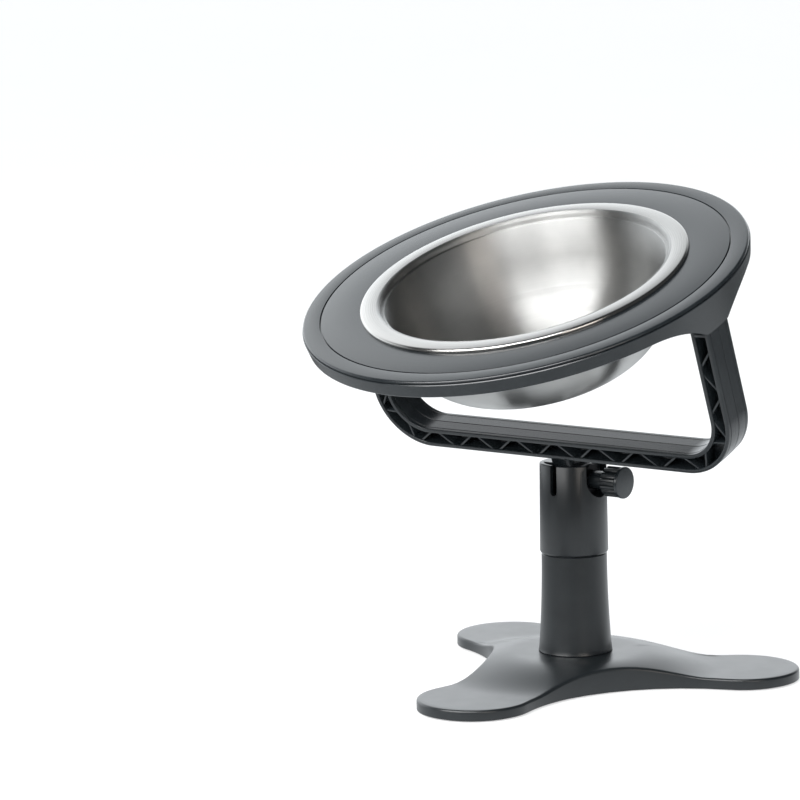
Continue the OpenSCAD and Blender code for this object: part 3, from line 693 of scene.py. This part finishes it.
def skirtDepth(across):
    # depth of the skirt at a distance from the middle of an upright
    spec = skirtSpec
    shallow, fillet = spec["shallow"], spec["fillet"]
    end = spec["half"] + math.sqrt(fillet ** 2 - (fillet - spec["deep"] + shallow) ** 2)
    if across <= spec["half"]:
        return spec["deep"]
    if across >= end:
        return shallow
    return shallow + fillet - math.sqrt(fillet ** 2 - (end - across) ** 2)


def makeSkirtRing():
    # a shallow ring is turned first, then its lower edge is pulled down at both uprights
    spec = skirtSpec
    top, land, soft, wall = skirtTop, trayUnder, spec["soft"], spec["wall"]
    under, low = land - wall, top - spec["shallow"]
    landRadius, inner = skirtRadius - spec["landIn"], skirtRadius - spec["ringWide"]
    lowRadius = skirtRadius - spec["lean"] * spec["shallow"]
    lowInner = lowRadius - wall
    profile = [(inner, under + soft), (inner, land - soft), (inner + soft, land), (landRadius, land),
               (landRadius, top - soft), (landRadius + soft, top), (skirtRadius - soft, top),
               (skirtRadius, top - soft), (lowRadius, low + soft), (lowRadius - soft, low),
               (lowInner + soft, low), (lowInner, low + soft),
               (skirtRadius - wall - spec["innerSet"], under), (inner + soft, under)]
    ring = turnPiece("skirtRing", closed(profile), spec["steps"])
    edgeTop = low + soft * spec["edgeShare"]
    bpy.ops.object.mode_set(mode="EDIT")
    for i in range(spec["steps"]):
        out = Vector(atTurn(1, fullTurn * i / spec["steps"]))
        extra = skirtDepth(abs(skirtRadius * out.y)) - spec["shallow"]
        if extra > hair:
            selectPoints(ring, lambda point: point.z < edgeTop and point.dot(out) > 0
                         and abs(point.x * out.y - point.y * out.x) < spec["slice"])
            bpy.ops.transform.translate(value=-out * spec["lean"] * extra - Vector((0, 0, extra)))
    bpy.ops.object.mode_set(mode="OBJECT")
    return ring


def makeLug():
    # neck and barrel for the hinge bolt, with a heel that ends the travel and its brace
    spec = lugSpec
    half, neck, bolt, soft, steps = (spec[key] for key in ("half", "neck", "bolt", "soft", "roundSteps"))
    heelHalf, flange = spec["heelHalf"], yokeSpec["flange"]
    heelStart = (-heelHalf, 0, -spec["heelLow"])
    blocks = [makeBlock("lugNeck", (-half, -neck, -beamDrop), (half, neck, flange), soft),
              makeBlock("lugHeel", heelStart, (heelHalf, spec["heelReach"], -spec["heelHigh"]), soft),
              makeBlock("lugBrace", heelStart, (heelHalf, neck + spec["braceOut"], flange), soft)]
    edge = spec["barrel"] - soft
    profile = [(bolt, -half), (edge, -half)]
    profile += arc((edge, -half + soft), soft, -90, 0, steps) + arc((edge, half - soft), soft, 0, 90, steps)
    barrel = turnPiece("lugBarrel", closed(profile + [(bolt, half)]), spec["steps"])
    place(barrel, Matrix.Translation((0, 0, -beamDrop)) @ alongX)
    return blocks + [barrel]


yoke = sweepYoke()
ringBosses = makeBosses("ringBoss", ringBossSpec, uprightTop)
joinInto(yoke, ringBosses + zigzagRibs() + [makeSkirtRing()] + makeLug())
yoke.name = yoke.data.name = "yokeFrame"
place(yoke, tiltFrame)
finishPiece(yoke, carrierPlastic, "carrier", "yoke_frame", smoothAngle=30)


# foot: three lobes joined by hollow arcs, a low dome that runs up to the column
footSpec = dict(reach=0.102, lobe=0.0345, waist=0.052, firstLobe=30, high=0.0168, tip=0.0072, domeIn=0.038,
                domeOut=0.090, eye=0.15, edge=0.0015, gap=0.001, gripInset=0.00305, gripWide=0.0063,
                gripDeep=0.0012, lip=0.0026, pocketRoof=0.0046, hollow=0.0392, hollowRoof=0.0094, boss=0.012,
                bossBore=0.010, web=0.0026, webIn=0.0005, webOut=0.001, webReach=0.1247, webSoft=0.0002,
                lap=0.0003, bolt=0.00325, cutLow=-0.01, cutHigh=0.03, near=0.0001, outlineMerge=0.00002,
                edgeSteps=5, lobeSteps=44, waistSteps=26, domeSteps=30, hollowSteps=96, boltSteps=48,
                bossSteps=72)
sixth = math.pi / 3  # from a lobe to the next hollow arc
lobeTurns = [math.radians(footSpec["firstLobe"]) + 2 * sixth * side for side in range(3)]


def footOutline():
    # one vertex spun round the lobes' and the hollow arcs' middles in turn
    reach, lobe, waist, tip = (footSpec[key] for key in ("reach", "lobe", "waist", "tip"))
    hollow = (reach ** 2 + waist ** 2 - reach * waist - lobe ** 2) / (2 * lobe - 2 * waist + reach)
    hollowReach = waist + hollow
    lobeSpan = math.atan2(hollowReach * math.sin(sixth), hollowReach / 2 - reach)
    hollowSpan = math.atan2(reach * math.sin(sixth), hollowReach - reach / 2)
    middle, edge = atTurn(reach, lobeTurns[0]), atTurn(lobe, lobeTurns[0] - lobeSpan)
    piece = drawLine("footShell", [(middle[0] + edge[0], middle[1] + edge[1], tip)])
    for turn in lobeTurns:
        spinOn(footSpec["lobeSteps"], 2 * lobeSpan, atTurn(reach, turn), zAxis)
        spinOn(footSpec["waistSteps"], -2 * hollowSpan, atTurn(hollowReach, turn + sixth), zAxis)
    mergeDoubles(footSpec["outlineMerge"])
    return piece


def shapeUnderside():
    # wall down to the rim, then the strip's groove and the pocket
    spec = footSpec
    bpy.ops.mesh.select_all(action="SELECT")
    bpy.ops.mesh.edge_face_add()
    pullFaces(spec["gap"] - spec["tip"])
    for inset, rise in ((spec["gripInset"], spec["gripDeep"]), (spec["gripWide"], -spec["gripDeep"]),
                        (spec["lip"], spec["pocketRoof"] - spec["gap"])):
        bpy.ops.mesh.inset(thickness=inset, depth=0, use_even_offset=True)
        pullFaces(rise)
    mergeDoubles()
    bpy.ops.mesh.normals_make_consistent(inside=False)


def domeShare(radius):
    # 1 at the column, easing to 0 towards the tips
    out = (radius - footSpec["domeIn"]) / (footSpec["domeOut"] - footSpec["domeIn"])
    out = min(max(out, 0), 1)
    return 1 - out * out * (3 - 2 * out)


def shapeDome(piece):
    # round the upper edge, then draw the top inwards ring by ring
    spec, rings = footSpec, footSpec["domeSteps"]
    selectEdges(piece, lambda ends: all(end.z > spec["tip"] - hair for end in ends))
    bpy.ops.mesh.bevel(offset=spec["edge"], offset_type="OFFSET", segments=spec["edgeSteps"], affect="EDGES")
    manyCorners = 3 * (spec["lobeSteps"] + spec["waistSteps"]) / 2
    topLow = spec["tip"] - spec["near"]
    selectFaces(piece, lambda face: len(face.vertices) > manyCorners and face.center.z > topLow)
    scales = [1 - (1 - spec["eye"]) * i / rings for i in range(rings + 1)]
    for before, after in zip(scales, scales[1:]):
        pullFaces(0)
        bpy.ops.transform.resize(value=(after / before, after / before, 1), center_override=(0, 0, 0))
    bpy.ops.mesh.select_mode(type="VERT")
    bpy.ops.object.mode_set(mode="OBJECT")
    # weights by radius lift the top into its dome
    group = piece.vertex_groups.new(name="dome")
    for vertex in piece.data.vertices:
        if vertex.co.z > spec["pocketRoof"] + spec["near"]:
            group.add([vertex.index], domeShare(vertex.co.to_2d().length), "REPLACE")
    applyModifier(piece, "DISPLACE", vertex_group="dome", direction="Z", mid_level=0.0,
                  strength=spec["high"] - spec["tip"])
    bpy.ops.object.mode_set(mode="EDIT")
    mergeAndTurnOut()


def makePlug(name, radius, low, high, steps):
    return turnPiece(name, [(0, low), (radius, low), (radius, high), (0, high)], steps)


def makeFoot():
    spec = footSpec
    piece = footOutline()
    shapeUnderside()
    shapeDome(piece)
    # hollow under the column, bolt hole, then the boss and three webs
    hollow, gap, boss, bore = (spec[key] for key in ("hollow", "gap", "boss", "bossBore"))
    half, cutLow = spec["web"] / 2, spec["cutLow"]
    cut(piece, makePlug("hollow", hollow, cutLow, spec["hollowRoof"], spec["hollowSteps"]))
    cut(piece, makePlug("boltHole", spec["bolt"], cutLow, spec["cutHigh"], spec["boltSteps"]))
    roof, pocket = spec["hollowRoof"] + spec["lap"], spec["pocketRoof"] + spec["lap"]
    bossProfile = closed([(bore, gap), (boss, gap), (boss, roof), (bore, roof)])
    extras = [turnPiece("boss", bossProfile, spec["bossSteps"])]
    webSpans = ((boss - spec["webIn"], hollow + spec["webOut"], roof), (hollow, spec["webReach"], pocket))
    for turn in lobeTurns:
        for start, end, top in webSpans:
            web = makeBlock("web", (start, -half, gap), (end, half, top), spec["webSoft"])
            place(web, Matrix.Rotation(turn, 4, "Z"))
            extras.append(web)
    return joinInto(piece, extras)


finishPiece(makeFoot(), standPlastic, "stand", "base_foot")


# column: turned tube that flares a little towards the foot
columnSpec = dict(seam=0.0778, radius=0.020, flare=0.760, toe=0.0004, toeHigh=0.0035, bore=0.0166,
                  floor=0.005, spigot=0.017, spigotHigh=0.010, spigotBore=0.012, chamfer=0.001,
                  edgeSoft=0.0005, wallSteps=12, toeSteps=8, steps=128)


def columnProfile():
    spec = columnSpec
    seam, low, soft, toeHigh = spec["seam"], footSpec["high"], spec["edgeSoft"], spec["toeHigh"]
    toeTop, high = low + toeHigh, seam - soft
    heights = [high - (high - toeTop) * i / spec["wallSteps"] for i in range(spec["wallSteps"])]
    heights += [toeTop - (toeHigh - soft) * i / spec["toeSteps"] for i in range(spec["toeSteps"] + 1)]
    outside = []
    for height in heights:
        flare = (seam - height) ** 2 / (2 * spec["flare"])
        toe = spec["toe"] * max(0, (toeTop - height) / toeHigh) ** 2
        outside.append((spec["radius"] + flare + toe, height))
    outside.append((outside[-1][0] - soft, low))
    top, floor = seam + spec["spigotHigh"], seam - spec["floor"]
    bore, spigot, spigotBore, chamfer = (spec[key] for key in ("bore", "spigot", "spigotBore", "chamfer"))
    inside = [(bore, low), (bore, floor), (spigotBore, floor), (spigotBore, top)]
    neck = [(spigot - chamfer, top), (spigot, top - chamfer), (spigot, seam), (spec["radius"] - soft, seam)]
    return closed(outside + inside + neck)


column = turnPiece("columnTube", columnProfile(), columnSpec["steps"])
finishPiece(column, standPlastic, "stand", "column_tube")


# clamp head: turned shell with two cheeks, split by a slit, with a recess for the knob
headSpec = dict(low=0.0209, top=0.0204, rise=0.0097, chamfer=0.0013, topRound=0.0006, topBreak=0.0002,
                cavity=0.0174, cavityEdge=0.0004, socket=0.01715, socketHigh=0.0106, floor=0.008,
                slitWide=0.0046, slitDeep=0.0184, slitRound=0.98, recess=0.0105, recessX=0.013, cheek=0.0134,
                cheekX=0.0081, bolt=0.00325, hexFit=0.00595, hexX=-0.012, edgeSoft=0.0004, far=0.03,
                shellSteps=128, roundSteps=96, boreSteps=48, slitSteps=6)
chamferShape = ((1, 0), (0.4, 0.45), (0, 1.2))  # inset and height, as shares of the chamfer
headTop = pivot.z + headSpec["rise"]


def headProfile(hollow):
    spec = headSpec
    seam, chamfer = columnSpec["seam"], spec["chamfer"]
    topRound, topBreak = spec["topRound"], spec["topBreak"]
    outside = [(spec["low"] - chamfer * inset, seam + chamfer * height) for inset, height in chamferShape]
    outside += [(spec["top"], headTop - topRound), (spec["top"] - topBreak, headTop - topBreak),
                (spec["top"] - topRound, headTop)]
    if not hollow:
        return [(0, seam)] + outside + [(0, headTop)]
    cavity, edge, bolt, socket = spec["cavity"], spec["cavityEdge"], spec["bolt"], spec["socket"]
    floorLow = seam + spec["socketHigh"]
    floorTop = floorLow + spec["floor"]
    inside = [(cavity + edge, headTop), (cavity, headTop - edge), (cavity, floorTop), (bolt, floorTop),
              (bolt, floorLow), (socket, floorLow), (socket, seam)]
    return closed(outside + inside)


def makeSlit():
    # a block with a round bottom
    far, half = headSpec["far"], headSpec["slitWide"] / 2
    low = headTop - headSpec["slitDeep"]
    slit = makeBlock("slit", (-half, -far, low), (half, far, pivot.z + far))
    bpy.ops.object.mode_set(mode="EDIT")
    selectEdges(slit, lambda ends: all(end.z < low + hair for end in ends)
                and abs(ends[0].x - ends[1].x) < hair)
    bpy.ops.mesh.bevel(offset=half * headSpec["slitRound"], segments=headSpec["slitSteps"], affect="EDGES")
    bpy.ops.object.mode_set(mode="OBJECT")
    return slit


def makeHead():
    spec = headSpec
    far, recess, recessX = spec["far"], spec["recess"], spec["recessX"]
    head = turnPiece("clampHead", headProfile(True), spec["shellSteps"])
    for start, end in ((spec["cheekX"], far), (-far, -spec["cheekX"])):
        cheek = makeRod("cheek", spec["cheek"], start, end, spec["roundSteps"])
        combine(cheek, turnPiece("headSolid", headProfile(False), spec["shellSteps"]), "INTERSECT")
        combine(head, cheek, "UNION")
    cut(head, makeSlit())
    cut(head, makeRod("recessRound", recess, recessX, far, spec["roundSteps"]))
    cut(head, makeBlock("recessOpen", (recessX, -recess, pivot.z), (far, recess, pivot.z + far)))
    cut(head, makeRod("boltBore", spec["bolt"], -far, far, spec["boreSteps"]))
    cut(head, makeRod("hexSocket", spec["hexFit"], -far, spec["hexX"], 6))
    softenEdges(head, spec["edgeSoft"])
    return head


finishPiece(makeHead(), standPlastic, "stand", "clamp_head")


# knob: smooth neck, fluted grip, plain disc
knobSpec = dict(neckX=0.0142, neck=0.0058, neckEdge=0.0003, neckFillet=0.0012, gripX=0.026, gripLong=0.0106,
                grip=0.0094, gripRound=0.0008, gripEdge=0.0002, flutes=14, flute=0.0016, fluteSet=0.25,
                fluteOver=0.002, fluteSteps=20, bore=0.00436, edgeSoft=0.0003, roundSteps=5, steps=112)
capSpec = dict(radius=0.0097, thick=0.002, soft=0.0006, underEdge=0.0003, peg=0.004, pegDeep=0.0018,
               roundSteps=5, steps=96)
gripEnd = knobSpec["gripX"] + knobSpec["gripLong"]


def turnAlongAxis(name, profile, steps):
    # profile points are (radius, place along the tilt axis)
    piece = turnPiece(name, profile, steps)
    place(piece, Matrix.Translation((0, 0, pivot.z)) @ alongX)
    return piece


def makeFlutes():
    spec = knobSpec
    start, end = spec["gripX"] - spec["fluteOver"], gripEnd + spec["fluteOver"]
    middle = Matrix.Translation((0, 0, pivot.z))
    outwards = Matrix.Translation((0, 0, spec["grip"] + spec["flute"] * spec["fluteSet"]))
    flutes = []
    for i in range(spec["flutes"]):
        flute = makeRod("flute", spec["flute"], start, end, spec["fluteSteps"])
        turn = Matrix.Rotation(fullTurn * (i + 0.5) / spec["flutes"], 4, "X")
        place(flute, middle @ turn @ outwards @ middle.inverted())
        flutes.append(flute)
    return joinInto(flutes[0], flutes[1:])


def makeKnob():
    spec = knobSpec
    bore, neck, neckX, neckEdge = spec["bore"], spec["neck"], spec["neckX"], spec["neckEdge"]
    fillet, grip, gripX = spec["neckFillet"], spec["grip"], spec["gripX"]
    gripRound, edge = spec["gripRound"], spec["gripEdge"]
    profile = [(bore, neckX), (neck - neckEdge, neckX), (neck, neckX + neckEdge)]
    profile += arc((neck + fillet, gripX - fillet), fillet, 180, 90, spec["roundSteps"])
    profile += arc((grip - gripRound, gripX + gripRound), gripRound, -90, 0, spec["roundSteps"])
    profile += [(grip, gripEnd - edge), (grip - edge, gripEnd), (bore, gripEnd)]
    knob = turnAlongAxis("knobGrip", closed(profile), spec["steps"])
    cut(knob, makeFlutes())
    softenEdges(knob, spec["edgeSoft"])
    return knob


def makeCap():
    # a disc with a peg that sits in the knob's bore
    spec = capSpec
    radius, soft, edge, peg = spec["radius"], spec["soft"], spec["underEdge"], spec["peg"]
    pegEnd, end = gripEnd - spec["pegDeep"], gripEnd + spec["thick"]
    profile = [(0, pegEnd), (peg, pegEnd), (peg, gripEnd)]
    profile += [(radius - edge, gripEnd), (radius, gripEnd + edge)]
    profile += arc((radius - soft, end - soft), soft, 0, 90, spec["roundSteps"])
    return turnAlongAxis("knobCap", profile + [(0, end)], spec["steps"])


finishPiece(makeKnob(), standPlastic, "knob", "knob_grip")
finishPiece(makeCap(), capPlastic, "knob", "knob_cap")


# CAD nodes that stay as they are get their finishes
nodeFinishes = dict(grip_ring=gripRubber, tie_bolt=boltZinc, tie_washer=boltZinc, tie_nut=boltZinc,
                    hinge_bolt=boltBlack, clamp_washer=boltBlack, knob_insert=insertBrass,
                    tray_screws=boltZinc)
for nodeName, material in nodeFinishes.items():
    nodes[nodeName].data.materials.clear()
    nodes[nodeName].data.materials.append(material)
print("finishes on", len(nodeFinishes), "CAD nodes")


# stage: pale floor, white surroundings, soft lamps
# the mirror and shade numbers set the floor's painted reflection and painted shade
stageSpec = dict(floorSize=80.0, floorColour=0.88, floorRough=0.6, mottle=3.0, mottleDetail=3.0,
                 mottleLift=0.02, glow=0.5, glowStrength=1.1, mirrorNear=1.15, mirrorFar=0.25,
                 mirrorFall=(0.35, 1.0), mirrorMiddle=(0.25, 0.1, 0), shade=0.25, shadeFall=(-0.6, 0.0),
                 ahead=(-0.62, 0.77, 0))
worldSpec = dict(fill=1.0, white=1.0, bright=2.0, dim=0.05, backdrop=(-0.86, 0.5, -0.35), fall=(0.25, 0.7),
                 tint=(0.93, 0.97, 1.0))
lampSpec = dict(
    key=dict(place=(0.05, -1.6, 1.75), size=(2.5, 0.9), power=78.0, colour=(1, 1, 1)),
    front=dict(place=(-0.35, -2.15, 0.75), size=(1.9, 0.7), power=20.0, colour=(1, 1, 1)),
    left=dict(place=(-1.49, 0.47, 1.32), size=(0.8, 0.8), power=0.8, colour=(1, 1, 1)),
    right=dict(place=(1.75, -0.95, 0.75), size=(0.9, 0.8), power=7.0, colour=(1.0, 0.92, 0.85)))
aim = Vector((0, -0.03, 0.16))  # where the lamps point


def reflectedRay(tree, path):
    return calculate(tree, "MAXIMUM", path.outputs["Is Glossy Ray"], path.outputs["Is Transmission Ray"])


def makeFloor():
    spec = stageSpec
    clearSelection()
    bpy.ops.mesh.primitive_plane_add(size=spec["floorSize"], location=(0, 0, 0))
    floor = nameActive("floor")
    material, tree, shader = newMaterial("paleFloor", Roughness=spec["floorRough"])
    vector = objectCoordinates(tree)
    tone, paler = spec["floorColour"], spec["floorColour"] + spec["mottleLift"]
    mottle = ramp(tree, noise(tree, vector, spec["mottle"], spec["mottleDetail"]))
    tree.links.new(blendColours(tree, mottle, (tone,) * 3, (paler,) * 3), shader.inputs["Base Color"])
    # in the camera's own view the floor glows a little
    path = addNode(tree, "LightPath")
    glow = addNode(tree, "Emission", {"Strength": spec["glowStrength"]}).outputs["Emission"]
    amount = calculate(tree, "MULTIPLY", path.outputs["Is Camera Ray"], spec["glow"])
    lit = addNode(tree, "MixShader", {0: amount, 1: shader.outputs["BSDF"], 2: glow}).outputs["Shader"]
    # in reflections the floor is a painted glow, not a lit surface: a painted reflection that fades away
    # from the stand, with painted shade towards the room
    away = measure(tree, "DISTANCE", vector, spec["mirrorMiddle"])
    near = ramp(tree, away, spec["mirrorNear"], spec["mirrorFar"], *spec["mirrorFall"])
    back = measure(tree, "DOT_PRODUCT", vector, spec["ahead"])
    side = ramp(tree, back, spec["shade"], 1, *spec["shadeFall"])
    paintedGlow = {"Color": (*worldSpec["tint"], 1), "Strength": calculate(tree, "MULTIPLY", near, side)}
    paintedMirror = addNode(tree, "Emission", paintedGlow).outputs["Emission"]
    mix = addNode(tree, "MixShader", {0: reflectedRay(tree, path), 1: lit, 2: paintedMirror}).outputs["Shader"]
    tree.links.new(mix, tree.nodes["Material Output"].inputs["Surface"])
    floor.data.materials.append(material)


def makeWorld():
    spec = worldSpec
    world = bpy.data.worlds.new("studio")
    scene.world = world
    world.use_nodes = True
    tree = world.node_tree
    direction = addNode(tree, "TexCoord").outputs["Generated"]
    path = addNode(tree, "LightPath")
    seen = path.outputs["Is Camera Ray"]
    # in reflections the wall behind the stand is white and the room in front of it is dark
    side = measure(tree, "DOT_PRODUCT", direction, spec["backdrop"])
    room = ramp(tree, side, spec["dim"], spec["bright"], *spec["fall"])
    unseen = blendNumbers(tree, reflectedRay(tree, path), spec["fill"], room)
    strength = blendNumbers(tree, seen, unseen, spec["white"])
    background = tree.nodes["Background"]
    tree.links.new(strength, background.inputs["Strength"])
    tree.links.new(blendColours(tree, seen, spec["tint"], (1, 1, 1)), background.inputs["Color"])


def makeLamps():
    for name, spec in lampSpec.items():
        clearSelection()
        bpy.ops.object.light_add(type="AREA", location=spec["place"])
        lamp = bpy.context.object
        lamp.name = name + "Lamp"
        lamp.data.shape = "RECTANGLE"
        lamp.data.size, lamp.data.size_y = spec["size"]
        lamp.data.energy = spec["power"]
        lamp.data.color = spec["colour"]
        lamp.visible_camera = False
        lamp.rotation_euler = (aim - Vector(spec["place"])).to_track_quat("-Z", "Y").to_euler()


# angles in degrees, the focal length and the picture in pixels
cameraSpec = dict(azimuth=36.013, distance=1.994114, height=0.467145, yaw=3.003, pitch=8.377, roll=-1.263,
                  focal=3314.0, picture=800, sensor=36.0)


def makeCamera():
    spec = cameraSpec
    azimuth, yaw, pitch, roll = (math.radians(spec[key]) for key in ("azimuth", "yaw", "pitch", "roll"))
    heading = azimuth + yaw
    flat = Vector((-math.sin(heading), math.cos(heading), 0))
    forward = flat * math.cos(pitch) - Vector(zAxis) * math.sin(pitch)
    right = forward.cross(Vector(zAxis)).normalized()
    up = right.cross(forward)
    across = right * math.cos(roll) + up * math.sin(roll)
    upward = up * math.cos(roll) - right * math.sin(roll)
    station = (math.sin(azimuth) * spec["distance"], -math.cos(azimuth) * spec["distance"], spec["height"])
    clearSelection()
    bpy.ops.object.camera_add()
    camera = bpy.context.object
    turned = Matrix((across, upward, -forward)).transposed().to_4x4()
    camera.matrix_world = Matrix.Translation(station) @ turned
    camera.data.sensor_width = spec["sensor"]
    camera.data.lens = spec["focal"] * spec["sensor"] / spec["picture"]
    scene.camera = camera


makeFloor()
makeWorld()
makeLamps()
makeCamera()
print("stage, lamps and camera set")
